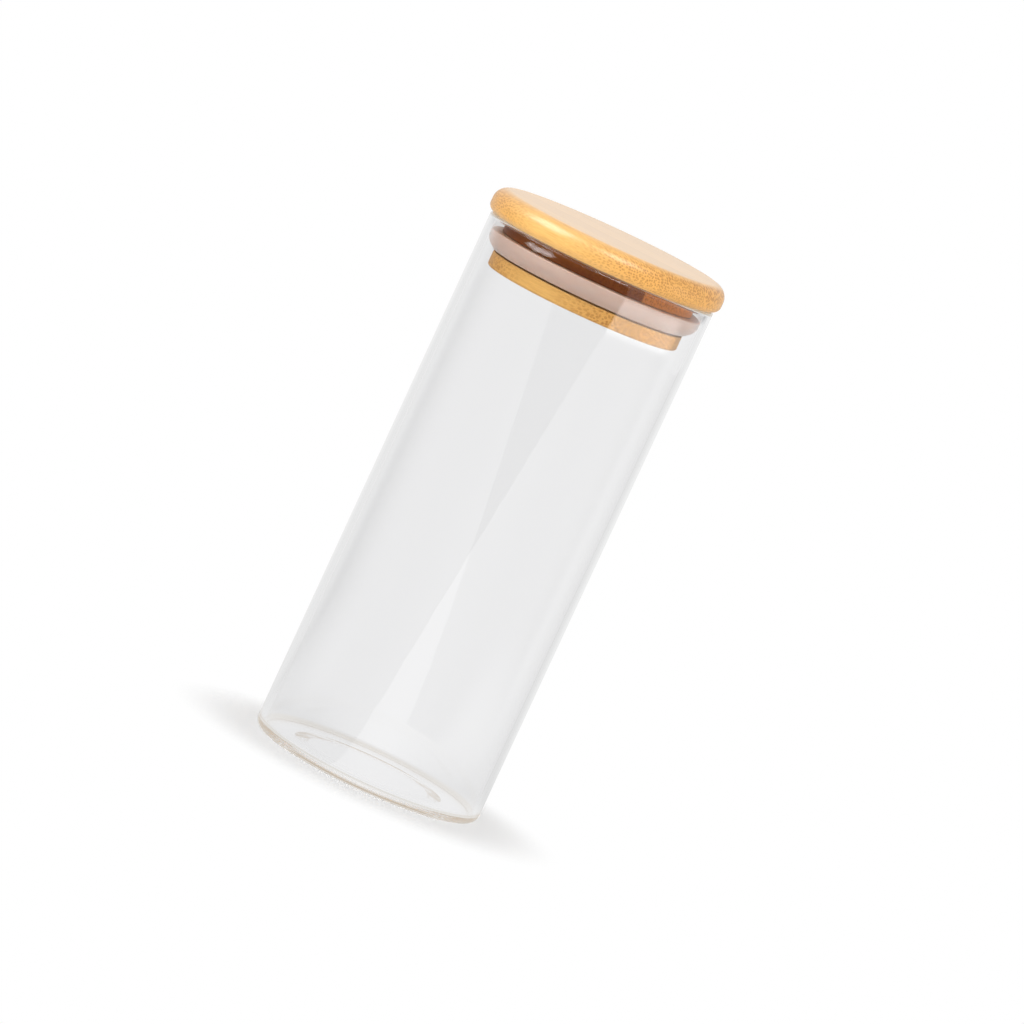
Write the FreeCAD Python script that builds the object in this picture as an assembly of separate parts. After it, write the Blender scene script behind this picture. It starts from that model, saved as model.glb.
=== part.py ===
import FreeCAD, Part
import math
import os

# Lidded glass canister: a straight glass jar closed by a push-in lid with a silicone seal.
# The lid is turned from a blank of three plies, and each ply is a row of bamboo strips glued side by side.
# Millimetres, +Z up. The origin is the centre of the base, on the surface that the jar stands on.

# Glass jar
jar_diameter = 85.0
jar_height = 198.0
wall = 2.5
floor = 2.6
heel_radius = 3.4
inner_heel_radius = 1.5

# Recess in the underside: the floor is thinner inside the ring that the jar stands on
recess_diameter = 56.0
recess_depth = 1.2
recess_slope_width = 5.0
recess_blend_radius = 2.5

# Lid blank
ply_thickness = 9.2
strip_width = 20.0
lid_overhang = 1.5
disc_top_radius = 5.0
disc_bottom_radius = 2.6
rim_clearance = 0.1

# Plug below the disc, with the groove that holds the seal
plug_clearance = 4.0
neck_height = 4.8
groove_height = 7.4
groove_depth = 3.2
flange_height = 5.4
plug_edge_radius = 1.0

# Seal
seal_toe_gap = 0.6
seal_toe_step = 0.3
seal_flank_height = 3.0
seal_flank_radius = 5.0
seal_edge_radius = 0.6
seal_bore_clearance = 0.1
seal_groove_clearance = 0.1

# Strips of each ply: how many, and how far the row of glue lines is shifted from the lid's centre
top_ply_strips = 5
top_ply_shift = 5.5
middle_ply_strips = 4
middle_ply_shift = 0.0
bottom_ply_strips = 4
bottom_ply_shift = 4.0

# Fits and seats worked out from the sizes above
jar_radius = jar_diameter / 2
bore_radius = jar_radius - wall
lid_radius = jar_radius + lid_overhang
plug_radius = bore_radius - plug_clearance
groove_radius = plug_radius - groove_depth
seat_level = jar_height + rim_clearance
lid_top_level = seat_level + ply_thickness
groove_top_level = seat_level - neck_height
groove_bottom_level = groove_top_level - groove_height
plug_bottom_level = groove_bottom_level - flange_height
lower_glue_level = seat_level - ply_thickness

same_point = 1e-6


def point(radius, level):
    return FreeCAD.Vector(radius, 0, level)


def rounded_corner(before, corner, after, radius):
    """Start, middle and end of the arc that rounds a corner between two straight sides."""
    back = (before - corner).normalize()
    ahead = (after - corner).normalize()
    half_angle = back.getAngle(ahead) / 2
    bisector = (back + ahead).normalize()
    tangent = radius / math.tan(half_angle)
    to_middle = radius / math.sin(half_angle) - radius
    return corner + back * tangent, corner + bisector * to_middle, corner + ahead * tangent


def turned(outline):
    """Solid of revolution from a closed outline of (radius, level, corner radius)."""
    corners = [point(radius, level) for radius, level, rounding in outline]
    arcs = []
    for i, (radius, level, rounding) in enumerate(outline):
        corner = corners[i]
        after = corners[(i + 1) % len(corners)]
        if rounding:
            arcs.append(rounded_corner(corners[i - 1], corner, after, rounding))
        else:
            arcs.append((corner, None, corner))
    edges = []
    for i, (start, middle, end) in enumerate(arcs):
        if middle:
            edges.append(Part.Arc(start, middle, end).toShape())
        following = arcs[(i + 1) % len(arcs)][0]
        if end.distanceToPoint(following) > same_point:
            edges.append(Part.makeLine(end, following))
    face = Part.Face(Part.Wire(edges))
    return face.revolve(FreeCAD.Vector(0, 0, 0), FreeCAD.Vector(0, 0, 1), 360)


def glass_jar():
    """Cup with a rounded heel, a fire-polished rim, a flat floor and a recess in its underside."""
    recess_radius = recess_diameter / 2
    recess_top_radius = recess_radius - recess_slope_width
    return turned([
        (0, recess_depth, 0),
        (recess_top_radius, recess_depth, recess_blend_radius),
        (recess_radius, 0, recess_blend_radius),
        (jar_radius, 0, heel_radius),
        (jar_radius, jar_height, wall / 2),
        (bore_radius, jar_height, wall / 2),
        (bore_radius, floor, inner_heel_radius),
        (0, floor, 0),
    ])


def seal_ring():
    """Push-in seal: its flank slopes out from the toe and rounds into a lip that meets the bore."""
    inner_radius = groove_radius + seal_groove_clearance
    toe_radius = plug_radius + seal_toe_step
    lip_radius = bore_radius - seal_bore_clearance
    top_level = groove_top_level - seal_groove_clearance
    toe_level = groove_bottom_level + seal_toe_gap
    return turned([
        (inner_radius, toe_level, seal_edge_radius),
        (toe_radius, toe_level, seal_edge_radius),
        (lip_radius, toe_level + seal_flank_height, seal_flank_radius),
        (lip_radius, top_level, seal_edge_radius),
        (inner_radius, top_level, seal_edge_radius),
    ])


def lid_blank():
    """The whole lid as it leaves the lathe: rounded disc, neck, seal groove and flange."""
    return turned([
        (0, lid_top_level, 0),
        (lid_radius, lid_top_level, disc_top_radius),
        (lid_radius, seat_level, disc_bottom_radius),
        (plug_radius, seat_level, 0),
        (plug_radius, groove_top_level, 0),
        (groove_radius, groove_top_level, 0),
        (groove_radius, groove_bottom_level, 0),
        (plug_radius, groove_bottom_level, 0),
        (plug_radius, plug_bottom_level, plug_edge_radius),
        (0, plug_bottom_level, 0),
    ])


def ply_strips(blank, bottom, top, count, shift):
    """Strips of one ply, from front to back: the blank cut at the ply's faces and at its glue lines."""
    beyond = 2 * lid_radius
    glue_lines = [shift + strip_width * (i - (count - 2) / 2) for i in range(count - 1)]
    sides = [-beyond] + glue_lines + [beyond]
    strips = []
    for front, back in zip(sides, sides[1:]):
        corner = FreeCAD.Vector(-beyond, front, bottom)
        slab = Part.makeBox(2 * beyond, back - front, top - bottom, corner)
        strips.append(blank.common(slab).Solids[0])
    return strips


def lid_strips():
    """Every strip of the lid, by node name."""
    blank = lid_blank()
    plies = [
        ("top", seat_level, lid_top_level, top_ply_strips, top_ply_shift),
        ("middle", lower_glue_level, seat_level, middle_ply_strips, middle_ply_shift),
        ("bottom", plug_bottom_level, lower_glue_level, bottom_ply_strips, bottom_ply_shift),
    ]
    named = {}
    for ply, bottom, top, count, shift in plies:
        for i, strip in enumerate(ply_strips(blank, bottom, top, count, shift)):
            named[f"{ply}_ply_strip_{i + 1}"] = strip
    return named


pieces = {"glass_jar": glass_jar(), "seal_ring": seal_ring()}
pieces.update(lid_strips())

os.makedirs("parts", exist_ok=True)
for node, shape in pieces.items():
    shape.exportStep(f"parts/{node}.step")
    print(f"{node}: {shape.ShapeType}, valid {shape.isValid()}, {shape.Volume / 1000:.2f} cm3")
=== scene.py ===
import math

import bmesh
import bpy
from mathutils import Matrix, Vector


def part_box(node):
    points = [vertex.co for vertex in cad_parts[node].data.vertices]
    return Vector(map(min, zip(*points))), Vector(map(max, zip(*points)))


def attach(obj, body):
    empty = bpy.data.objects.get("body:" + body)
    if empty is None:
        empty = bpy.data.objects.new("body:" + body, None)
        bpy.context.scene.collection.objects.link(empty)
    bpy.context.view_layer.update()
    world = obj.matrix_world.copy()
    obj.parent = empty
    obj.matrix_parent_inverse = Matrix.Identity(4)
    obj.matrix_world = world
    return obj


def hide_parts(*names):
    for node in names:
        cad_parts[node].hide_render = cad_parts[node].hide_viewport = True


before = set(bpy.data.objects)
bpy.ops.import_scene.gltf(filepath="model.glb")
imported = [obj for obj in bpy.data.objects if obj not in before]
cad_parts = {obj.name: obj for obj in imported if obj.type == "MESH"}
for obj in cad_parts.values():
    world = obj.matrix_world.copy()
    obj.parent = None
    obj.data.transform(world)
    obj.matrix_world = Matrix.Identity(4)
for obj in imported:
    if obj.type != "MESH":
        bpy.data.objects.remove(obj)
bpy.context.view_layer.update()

# Lidded glass canister: a clear glass jar, a silicone seal and a lid of glued bamboo strips, in metres.

MM = 0.001
SAME_PLACE = 0.01 * MM

# Glass jar
JAR_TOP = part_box("glass_jar")[1]
JAR_RADIUS = JAR_TOP.x
JAR_HEIGHT = JAR_TOP.z
WALL = 2.5 * MM
FLOOR = 2.6 * MM
HEEL = 3.4 * MM
INNER_HEEL = 1.5 * MM
RECESS_RADIUS = 28.0 * MM
RECESS_SLOPE = 5.0 * MM
RECESS_DEPTH = 1.2 * MM
RECESS_BLEND = 2.5 * MM
JAR_STEPS = 1024
JAR_ARC_STEPS = 12

# Seal
SEAL_LOW, SEAL_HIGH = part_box("seal_ring")
SEAL_LIP = SEAL_HIGH.x
SEAL_INNER = 32.9 * MM
SEAL_TOE = 36.3 * MM
SEAL_FLANK = 3.0 * MM
SEAL_FLANK_ROUND = 5.0 * MM
SEAL_EDGE = 0.6 * MM

# Lid
PLIES = {"top": 5, "middle": 4, "bottom": 4}
LID_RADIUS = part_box("top_ply_strip_3")[1].x
LID_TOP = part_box("top_ply_strip_3")[1].z
LID_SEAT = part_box("top_ply_strip_3")[0].z
PLUG_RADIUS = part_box("middle_ply_strip_2")[1].x
PLUG_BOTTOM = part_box("bottom_ply_strip_2")[0].z
GROOVE_RADIUS = 32.8 * MM
NECK = 4.8 * MM
GROOVE = 7.4 * MM
DISC_TOP_ROUND = 5.0 * MM
DISC_BOTTOM_ROUND = 2.6 * MM
PLUG_ROUND = 1.0 * MM
EASED = 0.3 * MM
LID_STEPS = 192
LID_ARC_STEPS = 10
SHARP_EDGE = math.radians(35)

# Where a strip has no neighbour, its glue line is put this far away
NO_GLUE = 1.0

# Fibre bundles: their usual pitch and lean across a strip, and the strips that show them coarser
USUAL_BUNDLES = (0.72 * MM, 0.0)
BUNDLES = {
    "top_ply_strip_3": (1.15 * MM, math.radians(38)),
    "middle_ply_strip_2": (0.95 * MM, 0.0),
    "bottom_ply_strip_1": (0.85 * MM, 0.0),
    "bottom_ply_strip_2": (1.0 * MM, math.radians(20)),
    "bottom_ply_strip_3": (1.0 * MM, 0.0),
}

# Neck strips darkened towards caramel brown as painted shade for the shadow under the disc, and how far
PAINTED_NECK_SHADE = {
    "middle_ply_strip_1": 1.0,
    "middle_ply_strip_2": 0.8,
    "middle_ply_strip_3": 0.85,
    "middle_ply_strip_4": 0.9,
}

# Strips lighter or darker than usual: the neck's front strip with painted shade, its other strips with
# painted light
STRIP_TONE_AND_PAINTED_LIGHT = {
    "middle_ply_strip_1": 0.75,
    "middle_ply_strip_2": 1.4,
    "middle_ply_strip_3": 1.5,
    "middle_ply_strip_4": 1.4,
    "bottom_ply_strip_1": 0.83,
    "bottom_ply_strip_2": 0.95,
    "bottom_ply_strip_3": 0.76,
}

# Other strips: how far their lightness swings, its step from strip to strip, and the grain's own step
LIGHTNESS_SWING = 0.03
LIGHTNESS_STEP = 2.4
GRAIN_STEP = 7.31

# Bamboo's colours, the neck's painted shade, and the tints that its fibres, bundles and cut ends lay over
# them
BY_THE_SKIN = (0.79, 0.45, 0.13, 1)
BY_THE_HOLLOW = (0.84, 0.48, 0.135, 1)
PAINTED_NECK_SHADE_COLOUR = (0.40, 0.13, 0.022, 1)
GLUE_LINE = (0.36, 0.15, 0.035, 1)
DARK_FIBRE = (0.74, 0.66, 0.56, 1)
LIGHT_FIBRE = (1.16, 1.20, 1.26, 1)
BUNDLE = (0.50, 0.345, 0.24, 1)
CUT_END = (0.93, 0.84, 0.72, 1)

# How fine the bamboo's patterns are along the strip, across it and through it, in cycles per metre
BUNDLE_SWAY = (11, 60, 60)
BUNDLE_BREAKS = (90, 900, 900)
FIBRES = (110, 2800, 2800)

# Photograph's camera: the bearing and elevation it stands at in degrees, how it leans and how far it reaches
CAMERA_AZIMUTH = 27.0
CAMERA_ELEVATION = 6.85
CAMERA_ROLL = math.radians(24.92)
CAMERA_DISTANCE = 2.566
CAMERA_TARGET = Vector((0, 0, 104 * MM))
CAMERA_AIM_RIGHT = 8.1 * MM
CAMERA_AIM_UP = 1.1 * MM
CAMERA_LENS = 259.0
SENSOR = 36.0

# Room: how bright its four panels, the gaps between them and the floor look in the glass, and its light
ROOM_PANELS = 0.92
ROOM_GAPS = 0.74
UNDER_GLASS = 0.84
ROOM_ON_OBJECT = 0.28

# Floor: where the shadow starts to fade and where it ends, and the ring of warm painted shade that the heel
# shows
FLOOR_RADIUS = 6.0
FLOOR_LEVEL = -0.2 * MM
SHADOW_FADES = 44 * MM
SHADOW_ENDS = 75 * MM
HEEL_RING_INSIDE = (34 * MM, 40 * MM)
HEEL_RING_OUTSIDE = (60 * MM, 44 * MM)
HEEL_PAINTED_SHADE = (0.92, 0.89, 0.84, 1)

# Light in the glass: after how many turns it counts as caught, the painted warm glow it then ends on, and the
# turns in all
CAUGHT_AFTER = 14.5
PAINTED_GLOW_TONE = (0.68, 0.58, 0.47, 1)
PAINTED_GLOW_STRENGTH = 0.85
PATH_TURNS = 24

# Lamps face this place, inside the jar's upper half
LAMPS_AIM = Vector((0, 0, 150 * MM))

# Slanting line in the glass, as the camera sees it: its height at the jar's middle and its rise to the right
SLANT_HEIGHT = 78.2 * MM
SLANT_RISE = 8.53

# Bearings of the line's corners round the jar: the top one, the step to the next, and the one at the flange
SLANT_TOP = 17.27
SLANT_STEP = -3.27
SLANT_CORNERS = 9
SLANT_AT_FLANGE = 14.78

# Cards on the floor that only the glass shows: the other corners, as bearing from the camera and distance
DARK_CARD_BY_HEEL = [(-20, 0.11), (-23, 0.05), (-60, 0.05), (-100, 0.05), (-150, 0.05)]
DARK_CARD_FAR_OFF = [(-150, 4.0), (-110, 4.0), (-70, 4.0), (-20, 4.0), (30, 4.0)]
LIGHT_CARD_FAR_OFF = [(40, 2.8), (45, 4.0), (80, 4.0), (120, 3.0), (150, 2.4)]
LIGHT_CARD_NEAR = [(150, 1.93), (120, 1.93), (90, 1.93), (60, 1.93), (45, 1.93)]
CARD_LEVEL = 1 * MM
WINDOW_LEVEL = 2 * MM

# Window's strip of light, where the glass shows it: bearing from the camera and level
WINDOW_ON_GLASS = [
    (-40.0, 195.1 * MM),
    (-35.0, 194.3 * MM),
    (-29.0, 194.2 * MM),
    (-24.5, 194.2 * MM),
    (-21.0, 194.8 * MM),
    (-25.0, 195.7 * MM),
    (-30.0, 195.7 * MM),
    (-36.0, 195.7 * MM),
]

# Distances on the floor between which the glass mirrors the flange's lower edge, the seal's top and the neck
MIRRORED_FLANGE = (1.95, 2.01)
MIRRORED_SEAL_TOP = (2.27, 2.22)
MIRRORED_NECK = (2.24, 2.32)


# Modelling

def pick_piece(piece):
    """Makes a piece the only selected one."""
    bpy.ops.object.select_all(action="DESELECT")
    piece.select_set(True)
    bpy.context.view_layer.objects.active = piece


def open_piece(piece):
    """Picks a piece and opens it for editing, with all of it selected."""
    pick_piece(piece)
    bpy.ops.object.mode_set(mode="EDIT")
    bpy.ops.mesh.select_all(action="SELECT")


def close_piece():
    bpy.ops.object.mode_set(mode="OBJECT")


def pick_corner(piece, radius, level):
    """Selects the one vertex of an outline that lies at this radius and level."""
    mesh = bmesh.from_edit_mesh(piece.data)
    place = Vector((radius, 0, level))
    for vert in mesh.verts:
        vert.select_set((vert.co - place).length < SAME_PLACE)
    mesh.select_flush_mode()
    bmesh.update_edit_mesh(piece.data)


def round_corner(piece, outline, i, segments):
    """Bevels corner i of an outline to its rounding, as an arc that meets both sides smoothly."""
    radius, level, rounding = outline[i]
    corner = Vector((radius, level))
    back = Vector(outline[i - 1][:2]) - corner
    ahead = Vector(outline[(i + 1) % len(outline)][:2]) - corner
    reach = rounding / math.tan(back.angle(ahead) / 2)
    pick_corner(piece, radius, level)
    bpy.ops.mesh.bevel(offset=reach, segments=segments, affect="VERTICES", clamp_overlap=False)


def draw_wire(name, points):
    """A wire through these points, extruded one by one from a plane merged to a single vertex."""
    bpy.ops.object.select_all(action="DESELECT")
    bpy.ops.mesh.primitive_plane_add(size=MM)
    piece = bpy.context.object
    piece.name = name
    open_piece(piece)
    bpy.ops.mesh.merge(type="CENTER")
    bpy.ops.transform.translate(value=points[0])
    for here, there in zip(points, points[1:]):
        bpy.ops.mesh.extrude_vertices_move(TRANSFORM_OT_translate={"value": there - here})
    return piece


def join_ends(piece, outline):
    """Closes an outline that doesn't touch the axis, by an edge from its last corner to its first."""
    mesh = bmesh.from_edit_mesh(piece.data)
    ends = [Vector((r, 0, z)) for r, z, _ in (outline[0], outline[-1])]
    for vert in mesh.verts:
        vert.select_set(min((vert.co - end).length for end in ends) < SAME_PLACE)
    mesh.select_flush_mode()
    bmesh.update_edit_mesh(piece.data)
    bpy.ops.mesh.edge_face_add()


def turn(name, outline, steps, segments, ring=False):
    """A turned piece: the outline of (radius, level, rounding) is drawn, rounded and spun about Z."""
    piece = draw_wire(name, [Vector((radius, 0, level)) for radius, level, _ in outline])
    if ring:
        join_ends(piece, outline)
    for i, (_, _, rounding) in enumerate(outline):
        if rounding:
            round_corner(piece, outline, i, segments)
    bpy.ops.mesh.select_all(action="SELECT")
    bpy.ops.mesh.remove_doubles(threshold=SAME_PLACE)
    bpy.ops.mesh.spin(steps=steps, angle=math.tau, center=(0, 0, 0), axis=(0, 0, 1))
    bpy.ops.mesh.select_all(action="SELECT")
    bpy.ops.mesh.remove_doubles(threshold=SAME_PLACE / 10)
    bpy.ops.mesh.normals_make_consistent(inside=False)
    close_piece()
    return piece


def smooth(piece):
    """Smooth shading that keeps real edges and lets large faces keep their own direction."""
    pick_piece(piece)
    bpy.ops.object.shade_smooth_by_angle(angle=SHARP_EDGE)
    weighted = piece.modifiers.new("even_faces", "WEIGHTED_NORMAL")
    weighted.keep_sharp = True
    bpy.ops.object.modifier_apply(modifier=weighted.name)


def model_jar():
    """The glass: rounded heel, recessed underside, straight wall and fire-polished rim."""
    bore = JAR_RADIUS - WALL
    jar = turn("jar_glass", [
        (0, RECESS_DEPTH, 0),
        (RECESS_RADIUS - RECESS_SLOPE, RECESS_DEPTH, RECESS_BLEND),
        (RECESS_RADIUS, 0, RECESS_BLEND),
        (JAR_RADIUS, 0, HEEL),
        (JAR_RADIUS, JAR_HEIGHT, WALL / 2),
        (bore, JAR_HEIGHT, WALL / 2),
        (bore, FLOOR, INNER_HEEL),
        (0, FLOOR, 0),
    ], JAR_STEPS, JAR_ARC_STEPS)
    smooth(jar)
    return jar


def model_seal():
    """The push-in ring: a flank that slopes out from the toe and rounds into the lip."""
    seal = turn("seal", [
        (SEAL_INNER, SEAL_LOW.z, 0),
        (SEAL_TOE, SEAL_LOW.z, SEAL_EDGE),
        (SEAL_LIP, SEAL_LOW.z + SEAL_FLANK, SEAL_FLANK_ROUND),
        (SEAL_LIP, SEAL_HIGH.z, SEAL_EDGE),
        (SEAL_INNER, SEAL_HIGH.z, 0),
    ], LID_STEPS, LID_ARC_STEPS, ring=True)
    smooth(seal)
    return seal


def model_disc_blank():
    """The lid's disc in one piece, as it leaves the lathe."""
    return turn("disc_blank", [
        (0, LID_TOP, 0),
        (LID_RADIUS, LID_TOP, DISC_TOP_ROUND),
        (LID_RADIUS, LID_SEAT, DISC_BOTTOM_ROUND),
        (0, LID_SEAT, 0),
    ], LID_STEPS, LID_ARC_STEPS)


def model_plug_blank():
    """The lid's plug in one piece: neck, seal groove and flange, with their edges eased."""
    groove_top = LID_SEAT - NECK
    return turn("plug_blank", [
        (0, LID_SEAT, 0),
        (PLUG_RADIUS, LID_SEAT, 0),
        (PLUG_RADIUS, groove_top, EASED),
        (GROOVE_RADIUS, groove_top, 0),
        (GROOVE_RADIUS, groove_top - GROOVE, 0),
        (PLUG_RADIUS, groove_top - GROOVE, EASED),
        (PLUG_RADIUS, PLUG_BOTTOM, PLUG_ROUND),
        (0, PLUG_BOTTOM, 0),
    ], LID_STEPS, LID_ARC_STEPS)


def cut(place, normal):
    """Cuts the open piece with a plane, drops what lies on the normal's side and fills the cut."""
    bpy.ops.mesh.select_all(action="SELECT")
    bpy.ops.mesh.bisect(plane_co=place, plane_no=normal, use_fill=True, clear_outer=True,
                        threshold=SAME_PLACE)


def is_first(node):
    return node.endswith("_1")


def is_last(node):
    return node.endswith(f"_{PLIES[node.split('_')[0]]}")


def model_strip(blank, node):
    """One bamboo strip: a copy of the blank, cut at the faces that the strip shares with its neighbours."""
    low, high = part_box(node)
    pick_piece(blank)
    bpy.ops.object.duplicate()
    strip = bpy.context.object
    strip.name = node.replace("_ply", "")
    open_piece(strip)
    if node.startswith("middle"):
        cut(low, (0, 0, -1))
    if node.startswith("bottom"):
        cut(high, (0, 0, 1))
    if not is_first(node):
        cut(low, (0, -1, 0))
    if not is_last(node):
        cut(high, (0, 1, 0))
    bpy.ops.mesh.select_all(action="SELECT")
    bpy.ops.mesh.normals_make_consistent(inside=False)
    close_piece()
    smooth(strip)
    return strip


# Materials

def new_material(name):
    material = bpy.data.materials.new(name)
    material.use_nodes = True
    tree = material.node_tree
    return material, tree, tree.nodes["Principled BSDF"]


def add(tree, kind, **values):
    """Adds a node and sets its properties, or its inputs where the name is an input's."""
    node = tree.nodes.new(kind)
    for key, value in values.items():
        if hasattr(node, key):
            setattr(node, key, value)
        else:
            node.inputs[key.replace("_", " ")].default_value = value
    return node


def feed(tree, socket, value):
    """Links an output to a socket, or sets the socket to a plain value."""
    if hasattr(value, "is_output"):
        tree.links.new(value, socket)
    else:
        socket.default_value = value


def math_node(tree, operation, first, second=None, third=None, clamp=False):
    node = tree.nodes.new("ShaderNodeMath")
    node.operation = operation
    node.use_clamp = clamp
    for i, value in enumerate((first, second, third)):
        if value is not None:
            feed(tree, node.inputs[i], value)
    return node.outputs[0]


def mix_colour(tree, factor, first, second, blend="MIX"):
    node = tree.nodes.new("ShaderNodeMix")
    node.data_type = "RGBA"
    node.blend_type = blend
    feed(tree, node.inputs["Factor"], factor)
    feed(tree, node.inputs[6], first)
    feed(tree, node.inputs[7], second)
    return node.outputs[2]


def smooth_step(tree, value, low, high):
    node = tree.nodes.new("ShaderNodeMapRange")
    node.interpolation_type = "SMOOTHSTEP"
    feed(tree, node.inputs["Value"], value)
    feed(tree, node.inputs["From Min"], low)
    feed(tree, node.inputs["From Max"], high)
    return node.outputs[0]


def mix_shaders(tree, factor, first, second):
    either = add(tree, "ShaderNodeMixShader")
    tree.links.new(factor, either.inputs[0])
    tree.links.new(first.outputs[0], either.inputs[1])
    tree.links.new(second.outputs[0], either.inputs[2])
    return either


def show(tree, shader, output="Material Output"):
    tree.links.new(shader.outputs[0], tree.nodes[output].inputs["Surface"])


def scaled(tree, vector, factors, shift):
    """A vector stretched by one factor per axis and moved by the same amount on each."""
    node = add(tree, "ShaderNodeVectorMath", operation="MULTIPLY_ADD")
    tree.links.new(vector, node.inputs[0])
    node.inputs[1].default_value = factors
    tree.links.new(shift, node.inputs[2])
    return node.outputs[0]


def strip_values(tree, name):
    """The three values that a strip keeps under this name."""
    values = add(tree, "ShaderNodeAttribute", attribute_name=name)
    parts = add(tree, "ShaderNodeSeparateXYZ")
    tree.links.new(values.outputs["Vector"], parts.inputs[0])
    return parts.outputs


def bundle_group():
    """Bamboo's inside: fibre bundles along X, dots where they are cut across and streaks where cut along."""
    group = bpy.data.node_groups.new("bamboo_bundles", "ShaderNodeTree")
    sockets = (("Place", "Vector", "INPUT"), ("Pitch", "Float", "INPUT"), ("Tilt", "Float", "INPUT"),
               ("Seed", "Float", "INPUT"), ("Depth", "Float", "INPUT"),
               ("Bundles", "Float", "OUTPUT"), ("Fibre", "Float", "OUTPUT"))
    for name, kind, side in sockets:
        group.interface.new_socket(name, in_out=side, socket_type="NodeSocket" + kind)
    inside = group.nodes.new("NodeGroupInput")
    out = group.nodes.new("NodeGroupOutput")
    link = group.links.new
    seed = inside.outputs["Seed"]

    turned = add(group, "ShaderNodeVectorRotate", rotation_type="X_AXIS")
    link(inside.outputs["Place"], turned.inputs["Vector"])
    link(inside.outputs["Tilt"], turned.inputs["Angle"])
    sway = add(group, "ShaderNodeTexNoise", Scale=1.0, Detail=1.0)
    link(scaled(group, inside.outputs["Place"], BUNDLE_SWAY, seed), sway.inputs["Vector"])
    sway_parts = add(group, "ShaderNodeSeparateColor")
    link(sway.outputs["Color"], sway_parts.inputs[0])
    parts = add(group, "ShaderNodeSeparateXYZ")
    link(turned.outputs[0], parts.inputs[0])
    across = math_node(group, "DIVIDE", parts.outputs["Y"], inside.outputs["Pitch"])
    through = math_node(group, "DIVIDE", parts.outputs["Z"], inside.outputs["Pitch"])
    cell = add(group, "ShaderNodeCombineXYZ")
    row_start = math_node(group, "ADD", across, seed)
    link(math_node(group, "MULTIPLY_ADD", sway_parts.outputs[0], 0.7, row_start), cell.inputs["X"])
    layer_start = math_node(group, "MULTIPLY_ADD", sway_parts.outputs[1], 0.7, seed)
    link(math_node(group, "MULTIPLY_ADD", through, 0.78, layer_start), cell.inputs["Y"])
    cells = add(group, "ShaderNodeTexVoronoi", voronoi_dimensions="2D", Scale=1.0, Randomness=0.7)
    link(cell.outputs[0], cells.inputs["Vector"])
    chance = add(group, "ShaderNodeSeparateColor")
    link(cells.outputs["Color"], chance.inputs[0])
    size = math_node(group, "MULTIPLY_ADD", inside.outputs["Depth"], -0.13, 0.42)
    size = math_node(group, "MULTIPLY", size, math_node(group, "MULTIPLY_ADD", chance.outputs[0], 0.5, 0.7))
    within = math_node(group, "SUBTRACT", size, 0.12)
    beyond = math_node(group, "ADD", size, 0.10)
    edge = smooth_step(group, cells.outputs["Distance"], within, beyond)
    breaks = add(group, "ShaderNodeTexNoise", Scale=1.0, Detail=2.0)
    link(scaled(group, inside.outputs["Place"], BUNDLE_BREAKS, seed), breaks.inputs["Vector"])
    strength = math_node(group, "MULTIPLY_ADD", breaks.outputs["Fac"], 0.9, 0.35, clamp=True)
    filled = math_node(group, "SUBTRACT", 1.0, edge)
    link(math_node(group, "MULTIPLY", filled, strength), out.inputs["Bundles"])
    threads = add(group, "ShaderNodeTexNoise", Scale=1.0, Detail=3.0, Roughness=0.6)
    link(scaled(group, inside.outputs["Place"], FIBRES, seed), threads.inputs["Vector"])
    link(threads.outputs["Fac"], out.inputs["Fibre"])
    return group


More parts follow.
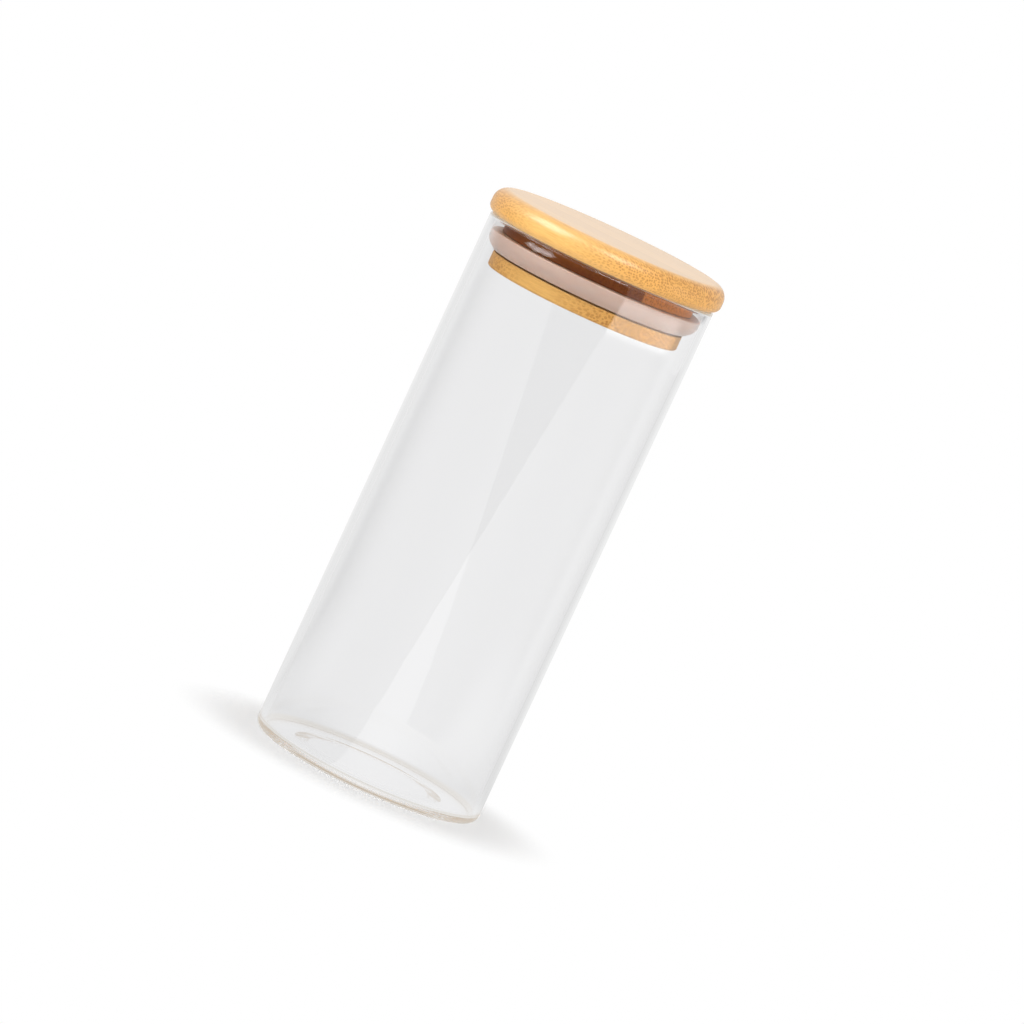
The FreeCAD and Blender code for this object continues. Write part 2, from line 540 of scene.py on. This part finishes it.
def bamboo(name, bundles, coat, shine):
    """Light bamboo, each strip with its own tone and its bundles packed closer towards the culm's skin; the
    neck's strips carry painted shade and painted light.
    """
    material, tree, shader = new_material(name)
    link = tree.links.new
    place = add(tree, "ShaderNodeTexCoord")
    level = add(tree, "ShaderNodeSeparateXYZ")
    link(place.outputs["Object"], level.inputs[0])
    # Third values: strip lightness, painted light and shade on the neck, and the neck's painted shade
    sides = strip_values(tree, "strip_sides")
    skin = strip_values(tree, "strip_skin")
    fibre = strip_values(tree, "strip_fibre")
    from_skin = math_node(tree, "SUBTRACT", level.outputs["Z"], skin[0])
    depth = math_node(tree, "DIVIDE", from_skin, skin[1], clamp=True)
    inside = add(tree, "ShaderNodeGroup", node_tree=bundles)
    link(place.outputs["Object"], inside.inputs["Place"])
    for socket, value in (("Pitch", fibre[0]), ("Tilt", fibre[1]), ("Seed", fibre[2]), ("Depth", depth)):
        link(value, inside.inputs[socket])

    flesh = mix_colour(tree, depth, BY_THE_SKIN, BY_THE_HOLLOW)
    # Painted shade: the neck's strips darken towards caramel brown
    flesh = mix_colour(tree, skin[2], flesh, PAINTED_NECK_SHADE_COLOUR)
    thread = mix_colour(tree, inside.outputs["Fibre"], DARK_FIBRE, LIGHT_FIBRE)
    threaded = mix_colour(tree, 1.0, flesh, thread, "MULTIPLY")
    surface = add(tree, "ShaderNodeNewGeometry")
    facing = add(tree, "ShaderNodeSeparateXYZ")
    link(surface.outputs["Normal"], facing.inputs[0])
    end_grain = smooth_step(tree, math_node(tree, "ABSOLUTE", facing.outputs["X"]), 0.05, 0.75)
    strength = math_node(tree, "MULTIPLY_ADD", end_grain, 0.84, 0.06)
    strength = math_node(tree, "MULTIPLY", strength, math_node(tree, "MULTIPLY_ADD", depth, -0.35, 1.0))
    # Dots fade where the neck's painted shade lies
    strength = math_node(tree, "MULTIPLY", strength, math_node(tree, "MULTIPLY_ADD", skin[2], -0.2, 1.0))
    dots = math_node(tree, "MULTIPLY", inside.outputs["Bundles"], strength)
    dotted = mix_colour(tree, dots, threaded, BUNDLE, "MULTIPLY")
    # Strip lightness: on the neck, painted shade on the front strip and painted light on the others
    toned = mix_colour(tree, 1.0, dotted, sides[2], "MULTIPLY")
    toned = mix_colour(tree, math_node(tree, "MULTIPLY", end_grain, 0.8), toned, CUT_END, "MULTIPLY")
    to_front = math_node(tree, "SUBTRACT", level.outputs["Y"], sides[0])
    to_back = math_node(tree, "SUBTRACT", sides[1], level.outputs["Y"])
    glue = smooth_step(tree, math_node(tree, "MINIMUM", to_front, to_back), 0.14 * MM, 0.02 * MM)
    glued = mix_colour(tree, math_node(tree, "MULTIPLY", glue, 0.45), toned, GLUE_LINE)
    link(glued, shader.inputs["Base Color"])
    link(math_node(tree, "MULTIPLY_ADD", inside.outputs["Fibre"], 0.16, 0.36), shader.inputs["Roughness"])
    bump = add(tree, "ShaderNodeBump", Strength=0.2, Distance=0.04 * MM)
    pits = math_node(tree, "MULTIPLY", inside.outputs["Bundles"], end_grain)
    link(math_node(tree, "MULTIPLY_ADD", pits, -0.6, inside.outputs["Fibre"]), bump.inputs["Height"])
    link(bump.outputs[0], shader.inputs["Normal"])
    shader.inputs["Specular IOR Level"].default_value = shine
    if coat:
        shader.inputs["Coat IOR"].default_value = 1.55
        shader.inputs["Coat Roughness"].default_value = 0.25
        lacquer = math_node(tree, "MULTIPLY_ADD", end_grain, -0.6 * coat, coat)
        worn = math_node(tree, "MULTIPLY_ADD", depth, -0.5, 1.0)
        link(math_node(tree, "MULTIPLY", lacquer, worn), shader.inputs["Coat Weight"])
    return material


def silicone():
    """Translucent, warm grey silicone with a satin skin."""
    material, tree, shader = new_material("warm_grey_silicone")
    link = tree.links.new
    place = add(tree, "ShaderNodeTexCoord")
    cloud = add(tree, "ShaderNodeTexNoise", Scale=90.0, Detail=3.0)
    link(place.outputs["Object"], cloud.inputs["Vector"])
    clouded = mix_colour(tree, cloud.outputs["Fac"], (0.50, 0.355, 0.29, 1), (0.55, 0.40, 0.33, 1))
    link(clouded, shader.inputs["Base Color"])
    link(math_node(tree, "MULTIPLY_ADD", cloud.outputs["Fac"], 0.12, 0.32), shader.inputs["Roughness"])
    shader.inputs["Subsurface Weight"].default_value = 0.5
    shader.inputs["Subsurface Radius"].default_value = (1.0, 0.7, 0.55)
    shader.inputs["Subsurface Scale"].default_value = 2.0 * MM
    return material


def glass():
    """Clear borosilicate glass with faint smudges. Light that falls on other pieces goes straight through it,
    and light caught in its wall ends on a painted warm glow, standing in for the tone the wall leads down
    from the lid."""
    material, tree, shader = new_material("clear_glass")
    link = tree.links.new
    place = add(tree, "ShaderNodeTexCoord")
    smudge = add(tree, "ShaderNodeTexNoise", Scale=28.0, Detail=4.0)
    link(place.outputs["Object"], smudge.inputs["Vector"])
    smudged = smooth_step(tree, smudge.outputs["Fac"], 0.55, 0.85)
    link(math_node(tree, "MULTIPLY", smudged, 0.03), shader.inputs["Roughness"])
    shader.inputs["Base Color"].default_value = (0.985, 0.985, 0.988, 1)
    shader.inputs["Transmission Weight"].default_value = 1.0
    shader.inputs["IOR"].default_value = 1.47
    path = add(tree, "ShaderNodeLightPath")
    clear = add(tree, "ShaderNodeBsdfTransparent")
    straight = math_node(tree, "MAXIMUM", path.outputs["Is Shadow Ray"], path.outputs["Is Diffuse Ray"])
    # Painted light: paths caught in the glass end on a warm glow
    painted_glow = add(tree, "ShaderNodeEmission", Color=PAINTED_GLOW_TONE, Strength=PAINTED_GLOW_STRENGTH)
    caught = math_node(tree, "GREATER_THAN", path.outputs["Ray Depth"], CAUGHT_AFTER)
    show(tree, mix_shaders(tree, straight, mix_shaders(tree, caught, shader, painted_glow), clear))
    return material


def finish_piece(piece, material, node, body):
    """Gives a piece its material, hides the part it stands for and hangs it on the body it moves with."""
    piece.data.materials.clear()
    piece.data.materials.append(material)
    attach(piece, body)
    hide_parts(node)


def mark_strip(strip, node, number):
    """Stores on a strip what the bamboo reads there: its sides and lightness (painted light and shade on the
    neck), its skin, the neck's painted shade and its bundles.
    """
    low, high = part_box(node)
    skin_up = not node.startswith("bottom")
    skin, inner = (high.z, low.z) if skin_up else (low.z, high.z)
    pitch, tilt = BUNDLES.get(node, USUAL_BUNDLES)
    front = -NO_GLUE if is_first(node) else low.y
    back = NO_GLUE if is_last(node) else high.y
    usual_lightness = 1 + LIGHTNESS_SWING * math.sin(number * LIGHTNESS_STEP)
    values = {
        # Lightness that on the neck is painted light and shade, and the neck's painted shade
        "strip_sides": (front, back, STRIP_TONE_AND_PAINTED_LIGHT.get(node, usual_lightness)),
        "strip_skin": (skin, inner - skin, PAINTED_NECK_SHADE.get(node, 0.0)),
        "strip_fibre": (pitch, tilt, number * GRAIN_STEP),
    }
    for name, value in values.items():
        kept = strip.data.attributes.new(name, "FLOAT_VECTOR", "POINT")
        kept.data.foreach_set("vector", value * len(strip.data.vertices))


def build_object():
    bundles = bundle_group()
    clear_glass = glass()
    warm_silicone = silicone()
    lacquered = bamboo("lacquered_bamboo", bundles, coat=1.0, shine=0.5)
    oiled = bamboo("oiled_bamboo", bundles, coat=0.0, shine=0.2)
    finish_piece(model_jar(), clear_glass, "glass_jar", "jar")
    finish_piece(model_seal(), warm_silicone, "seal_ring", "seal")
    disc = model_disc_blank()
    plug = model_plug_blank()
    nodes = [f"{ply}_ply_strip_{i + 1}" for ply, count in PLIES.items() for i in range(count)]
    for number, node in enumerate(nodes):
        blank, wood = (disc, lacquered) if node.startswith("top") else (plug, oiled)
        strip = model_strip(blank, node)
        mark_strip(strip, node, number + 1)
        finish_piece(strip, wood, node, "lid")
    bpy.data.objects.remove(disc)
    bpy.data.objects.remove(plug)


# Studio

def from_camera(bearing, elevation):
    """Direction out from the object, its bearing counted to the right from the photograph's camera."""
    a = math.radians(CAMERA_AZIMUTH + bearing)
    e = math.radians(elevation)
    return Vector((math.sin(a) * math.cos(e), -math.cos(a) * math.cos(e), math.sin(e)))


def camera_eye():
    return CAMERA_TARGET + from_camera(0, CAMERA_ELEVATION) * CAMERA_DISTANCE


def distance_off(tree, place):
    """How far a place is from the object's middle."""
    length = add(tree, "ShaderNodeVectorMath", operation="LENGTH")
    tree.links.new(place, length.inputs[0])
    return length.outputs["Value"]


def turned_to(tree, direction, bearing):
    """How closely a direction keeps to this bearing: 1 along it, -1 the other way."""
    heading = add(tree, "ShaderNodeVectorMath", operation="NORMALIZE")
    tree.links.new(direction, heading.inputs[0])
    facing = add(tree, "ShaderNodeVectorMath", operation="DOT_PRODUCT")
    facing.inputs[1].default_value = from_camera(bearing, 0)
    tree.links.new(heading.outputs[0], facing.inputs[0])
    return facing.outputs["Value"]


def room_strength(tree, direction):
    """How bright the room is that way: white to the camera, and in the glass pale panels with greyer gaps."""
    path = add(tree, "ShaderNodeLightPath")
    level = add(tree, "ShaderNodeVectorMath", operation="MULTIPLY")
    level.inputs[1].default_value = (1, 1, 0)
    tree.links.new(direction, level.inputs[0])
    facing = turned_to(tree, level.outputs[0], 180)
    square = math_node(tree, "MULTIPLY", facing, facing)
    less_one = math_node(tree, "SUBTRACT", square, 1.0)
    fourfold = math_node(tree, "MULTIPLY_ADD", less_one, math_node(tree, "MULTIPLY", square, 4.0), 1.0)
    in_glass = math_node(tree, "MULTIPLY_ADD", fourfold, ROOM_PANELS - ROOM_GAPS, ROOM_GAPS)
    return math_node(tree, "MAXIMUM", path.outputs["Is Camera Ray"], in_glass)


def seen_directly(tree):
    """1 where the camera, a reflection or a view through glass meets the surface, 0 for light on pieces."""
    path = add(tree, "ShaderNodeLightPath")
    mirrored = math_node(tree, "MAXIMUM", path.outputs["Is Camera Ray"], path.outputs["Is Glossy Ray"])
    seen = math_node(tree, "MAXIMUM", mirrored, path.outputs["Is Transmission Ray"])
    not_on_pieces = math_node(tree, "LESS_THAN", path.outputs["Diffuse Depth"], 0.5)
    return math_node(tree, "MULTIPLY", seen, not_on_pieces)


def pale_room():
    """White wherever the camera sees the room, softer as a light on the object."""
    world = bpy.data.worlds.new("pale_room")
    world.use_nodes = True
    tree = world.node_tree
    soft = tree.nodes["Background"]
    soft.inputs["Color"].default_value = (1, 1, 1, 1)
    soft.inputs["Strength"].default_value = ROOM_ON_OBJECT
    seen = add(tree, "ShaderNodeBackground", Color=(1, 1, 1, 1))
    place = add(tree, "ShaderNodeTexCoord")
    tree.links.new(room_strength(tree, place.outputs["Generated"]), seen.inputs["Strength"])
    show(tree, mix_shaders(tree, seen_directly(tree), soft, seen), "World Output")
    bpy.context.scene.world = world


def pale_floor():
    """A white floor that takes the shadow near the object and fades into the room, unseen from below.
    Through the glass it shows a ring of warm painted shade round the heel.
    """
    bpy.ops.object.select_all(action="DESELECT")
    bpy.ops.mesh.primitive_circle_add(vertices=96, radius=FLOOR_RADIUS, fill_type="NGON",
                                      location=(0, 0, FLOOR_LEVEL))
    floor = bpy.context.object
    floor.name = "floor"
    material, tree, shader = new_material("white_floor")
    shader.inputs["Base Color"].default_value = (0.72, 0.72, 0.72, 1)
    shader.inputs["Roughness"].default_value = 0.9
    shader.inputs["Specular IOR Level"].default_value = 0.1
    place = add(tree, "ShaderNodeTexCoord")
    reach = distance_off(tree, place.outputs["Object"])
    path = add(tree, "ShaderNodeLightPath")
    to_camera = path.outputs["Is Camera Ray"]
    to_others = math_node(tree, "SUBTRACT", 1.0, to_camera)
    far = smooth_step(tree, reach, SHADOW_FADES, SHADOW_ENDS)
    beyond = math_node(tree, "SUBTRACT", room_strength(tree, place.outputs["Object"]), UNDER_GLASS)
    in_glass = math_node(tree, "MULTIPLY_ADD", beyond, far, UNDER_GLASS)
    # Painted shade: a warm ring round the heel that only views through the glass meet
    painted_heel_shade_ring = math_node(tree, "MULTIPLY", smooth_step(tree, reach, *HEEL_RING_INSIDE),
                          smooth_step(tree, reach, *HEEL_RING_OUTSIDE))
    painted_shade_under_heel = math_node(tree, "MULTIPLY", painted_heel_shade_ring, to_others)
    seen = add(tree, "ShaderNodeEmission")
    tree.links.new(mix_colour(tree, painted_shade_under_heel, (1, 1, 1, 1), HEEL_PAINTED_SHADE), seen.inputs["Color"])
    tree.links.new(math_node(tree, "MAXIMUM", to_camera, in_glass), seen.inputs["Strength"])
    bright = math_node(tree, "MAXIMUM", far, to_others)
    pale = mix_shaders(tree, math_node(tree, "MULTIPLY", bright, seen_directly(tree)), shader, seen)
    surface = add(tree, "ShaderNodeNewGeometry")
    unseen = add(tree, "ShaderNodeBsdfTransparent")
    show(tree, mix_shaders(tree, surface.outputs["Backfacing"], pale, unseen))
    floor.data.materials.append(material)


def fading_left(tree, place):
    """Dark in front and on the left, fading to the room's own grey towards the back and close to the heel."""
    reach = distance_off(tree, place)
    facing = turned_to(tree, place, -150)
    at_back = smooth_step(tree, facing, 0.80, 0.98)
    on_left = smooth_step(tree, facing, -0.10, 0.50)
    by_heel = math_node(tree, "MULTIPLY", on_left, smooth_step(tree, reach, 0.50, 0.06))
    on_neck = smooth_step(tree, reach, *MIRRORED_NECK)
    dark = math_node(tree, "MULTIPLY_ADD", on_neck, -0.12, 0.16)
    return math_node(tree, "MULTIPLY_ADD", math_node(tree, "MAXIMUM", at_back, by_heel), 0.66, dark)


def bright_far_off(tree, place):
    """Bright only where the glass round the seal and the flange mirrors it, and dim round the neck."""
    reach = distance_off(tree, place)
    facing = turned_to(tree, place, 30)
    above_jar_wall = smooth_step(tree, reach, *MIRRORED_FLANGE)
    below_neck = smooth_step(tree, reach, *MIRRORED_SEAL_TOP)
    in_front = smooth_step(tree, facing, 0.10, 0.45)
    glow = math_node(tree, "MULTIPLY", math_node(tree, "MULTIPLY", above_jar_wall, below_neck), in_front)
    on_neck = smooth_step(tree, reach, *MIRRORED_NECK)
    plain = math_node(tree, "MULTIPLY_ADD", on_neck, -0.4, 0.85)
    return math_node(tree, "MULTIPLY_ADD", glow, 1.7, plain)


def bright_middle(tree, place):
    """A window's strip of light, brightest in its middle."""
    facing = turned_to(tree, place, -60)
    return math_node(tree, "MULTIPLY", smooth_step(tree, facing, 0.92, 0.98), 5.0)


def on_floor(corners):
    """Places on the floor from their bearings and distances."""
    return [from_camera(bearing, 0) * distance for bearing, distance in corners]


def mirrored_place(bearing, level):
    """The place on the floor that the jar's outside mirrors to the camera at this bearing and level."""
    outward = from_camera(bearing, 0)
    spot = outward * JAR_RADIUS + Vector((0, 0, level))
    sight = spot - camera_eye()
    sight -= 2 * sight.dot(outward) * outward
    place = spot + sight * (CARD_LEVEL - level) / sight.z
    return Vector((place.x, place.y, 0))


def on_slant(bearing):
    """The place on the floor whose reflection lies on the slanting line at this bearing."""
    turn_right = math.radians(bearing)
    tip = math.radians(CAMERA_ELEVATION)
    seen_height = SLANT_HEIGHT + SLANT_RISE * JAR_RADIUS * math.sin(turn_right)
    nearer = JAR_RADIUS * math.cos(turn_right)
    return mirrored_place(bearing, (seen_height + nearer * math.sin(tip)) / math.cos(tip))


def glass_card(name, corners, strength, level):
    """A card that lies just above the floor. Only a single reflection shows it."""
    card = draw_wire(name, [corner + Vector((0, 0, level)) for corner in corners])
    bpy.ops.mesh.select_all(action="SELECT")
    bpy.ops.mesh.edge_face_add()
    close_piece()
    material, tree, _ = new_material(name)
    place = add(tree, "ShaderNodeTexCoord")
    path = add(tree, "ShaderNodeLightPath")
    unseen = add(tree, "ShaderNodeBsdfTransparent")
    shown = add(tree, "ShaderNodeEmission", Color=(1, 1, 1, 1))
    tree.links.new(strength(tree, place.outputs["Object"]), shown.inputs["Strength"])
    once = math_node(tree, "COMPARE", path.outputs["Glossy Depth"], 1.0, 0.1)
    show(tree, mix_shaders(tree, once, unseen, shown))
    card.data.materials.append(material)
    card.visible_camera = False
    card.visible_diffuse = False
    card.visible_shadow = False


def lay_cards():
    """The cards: dark left of the slanting line, light right of it by the lid, and a window's strip."""
    slant = [on_slant(SLANT_TOP + SLANT_STEP * i) for i in range(SLANT_CORNERS)]
    dark = slant + on_floor(DARK_CARD_BY_HEEL + DARK_CARD_FAR_OFF)
    light = [on_slant(SLANT_AT_FLANGE), on_slant(SLANT_TOP)]
    light += on_floor(LIGHT_CARD_FAR_OFF + LIGHT_CARD_NEAR)
    window = [mirrored_place(bearing, level) for bearing, level in WINDOW_ON_GLASS]
    glass_card("dark_card", dark, fading_left, CARD_LEVEL)
    glass_card("light_card", light, bright_far_off, CARD_LEVEL)
    glass_card("window_strip", window, bright_middle, WINDOW_LEVEL)


def softbox(name, bearing, elevation, distance, width, height, power, highlight=True):
    """A lamp that faces the jar's upper half and never shows through the glass."""
    away = from_camera(bearing, elevation)
    data = bpy.data.lights.new(name, "AREA")
    data.shape = "RECTANGLE"
    data.size = width
    data.size_y = height
    data.energy = power
    lamp = bpy.data.objects.new(name, data)
    lamp.location = LAMPS_AIM + away * distance
    lamp.rotation_euler = away.to_track_quat("Z", "Y").to_euler()
    lamp.visible_camera = False
    lamp.visible_glossy = highlight
    lamp.visible_transmission = False
    bpy.context.scene.collection.objects.link(lamp)


def photo_camera():
    """The photograph's view: low, far off and leaning, so that the canister leans to the right."""
    eye = camera_eye()
    right = from_camera(90, 0)
    up = from_camera(0, CAMERA_ELEVATION).cross(right)
    aim = CAMERA_TARGET + right * CAMERA_AIM_RIGHT + up * CAMERA_AIM_UP
    toward_eye = (eye - aim).normalized()
    level = Vector((0, 0, 1)).cross(toward_eye).normalized()
    upright = toward_eye.cross(level)
    across = level * math.cos(CAMERA_ROLL) + upright * math.sin(CAMERA_ROLL)
    above = upright * math.cos(CAMERA_ROLL) - level * math.sin(CAMERA_ROLL)
    data = bpy.data.cameras.new("photo_camera")
    data.lens = CAMERA_LENS
    data.sensor_width = SENSOR
    data.clip_end = 100.0
    camera = bpy.data.objects.new("photo_camera", data)
    turned = Matrix((across, above, toward_eye)).transposed().to_4x4()
    camera.matrix_world = Matrix.Translation(eye) @ turned
    bpy.context.scene.collection.objects.link(camera)
    bpy.context.scene.camera = camera


build_object()
pale_room()
pale_floor()
lay_cards()
softbox("key_left", bearing=-66, elevation=40, distance=1.2, width=0.8, height=0.8, power=9.8)
softbox("above_camera", bearing=18, elevation=46, distance=1.5, width=0.75, height=0.75, power=11.5)
softbox("rim_strip", bearing=5, elevation=14, distance=1.6, width=1.8, height=0.05, power=1.0)
softbox("low_right", bearing=80, elevation=8, distance=1.2, width=0.4, height=0.4, power=5.5, highlight=False)
softbox("floor_bounce", bearing=-25, elevation=-30, distance=0.28, width=0.12, height=0.12, power=0.35,
        highlight=False)
photo_camera()
bpy.context.scene.view_settings.view_transform = "Standard"
bpy.context.scene.cycles.max_bounces = PATH_TURNS
bpy.context.scene.cycles.glossy_bounces = PATH_TURNS
bpy.context.scene.cycles.transmission_bounces = PATH_TURNS
